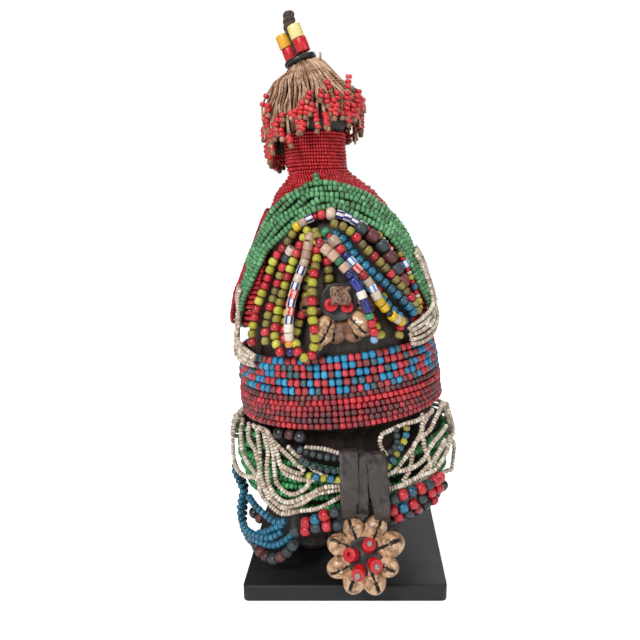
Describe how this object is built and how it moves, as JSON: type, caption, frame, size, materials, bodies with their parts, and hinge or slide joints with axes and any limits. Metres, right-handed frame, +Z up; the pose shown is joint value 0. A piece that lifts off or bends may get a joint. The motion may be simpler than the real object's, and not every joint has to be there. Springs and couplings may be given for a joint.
{
  "type": "namji doll",
  "caption": "Carved wooden figure on a square base, dressed in bead strands, cowrie pendants, a leather wrap and a wig of beaded strings.",
  "frame": {"origin": "centre of the base's underside", "axes": "+Z up through the figure, -Y the way the figure faces, +X to the right of a viewer who faces it"},
  "size_m": [0.1438, 0.1404, 0.3346],
  "materials": {
    "black_paint": "satin black paint",
    "blue_glass": "glossy glass bead",
    "cowrie_shell": "worn shell",
    "cream_glass": "glossy glass bead",
    "dark_red_glass": "glossy glass bead",
    "dark_wood": "dark oiled wood",
    "green_glass": "glossy glass bead",
    "pale_knot": "knotted string",
    "grey_leather": "old matte leather",
    "navy_glass": "glossy glass bead",
    "olive_glass": "matte glass bead",
    "orange_glass": "glossy glass bead",
    "red_glass": "glossy glass bead",
    "slate_glass": "satin glass bead",
    "dark_cord": "waxed cord",
    "black_ring": "dull black",
    "tan_string": "twisted string",
    "yellow_glass": "glossy glass bead"
  },
  "bodies": {
    "root": {"base": "black_paint", "figure": "dark_wood", "wig": "tan_string", "top_ring": "black_ring", "top_cord": "dark_cord", "red_tube_bead_right": "red_glass", "red_tube_bead_left": "red_glass", "yellow_tube_bead": "yellow_glass", "orange_tube_bead": "orange_glass", "neck_wrap": "red_glass", "shoulder_wrap": "red_glass", "back_mantle": "red_glass", "red_side_loop": "red_glass", "green_mantle": "green_glass", "yellow_red_strand_outer": "olive_glass", "olive_red_strand": "olive_glass", "yellow_red_strand_inner": "olive_glass", "striped_strand": "cream_glass", "yellow_strand_middle": "olive_glass", "green_white_strand": "blue_glass", "navy_white_strand": "navy_glass", "blue_strand_lower": "blue_glass", "blue_strand_upper": "blue_glass", "yellow_red_strand_right": "yellow_glass", "striped_top_strand": "cream_glass", "slate_chest_strand": "slate_glass", "large_shoulder_strand": "slate_glass", "belt_blue_red": "blue_glass", "belt_dark_red": "dark_red_glass", "cream_side_left": "cream_glass", "cream_side_right": "cream_glass", "waist_hank": "green_glass", "cream_waist_strands": "cream_glass", "blue_waist_loop": "blue_glass", "blue_inner_loop": "blue_glass", "slate_pink_loop": "slate_glass", "red_slate_strand_left": "dark_red_glass", "red_slate_strand_right": "dark_red_glass", "dark_waist_roll": "dark_cord", "leather_clasp": "grey_leather", "chest_cowries": "cowrie_shell", "hip_cowries": "cowrie_shell", "chest_disc": "slate_glass", "hip_disc": "slate_glass", "chest_red_bead_left": "red_glass", "chest_red_bead_right": "red_glass", "chest_twine_knot": "dark_cord", "hip_red_bead_left": "red_glass", "hip_red_bead_top": "red_glass", "hip_red_bead_right": "red_glass", "hip_pale_knot": "pale_knot"}
  },
  "joints": []
}
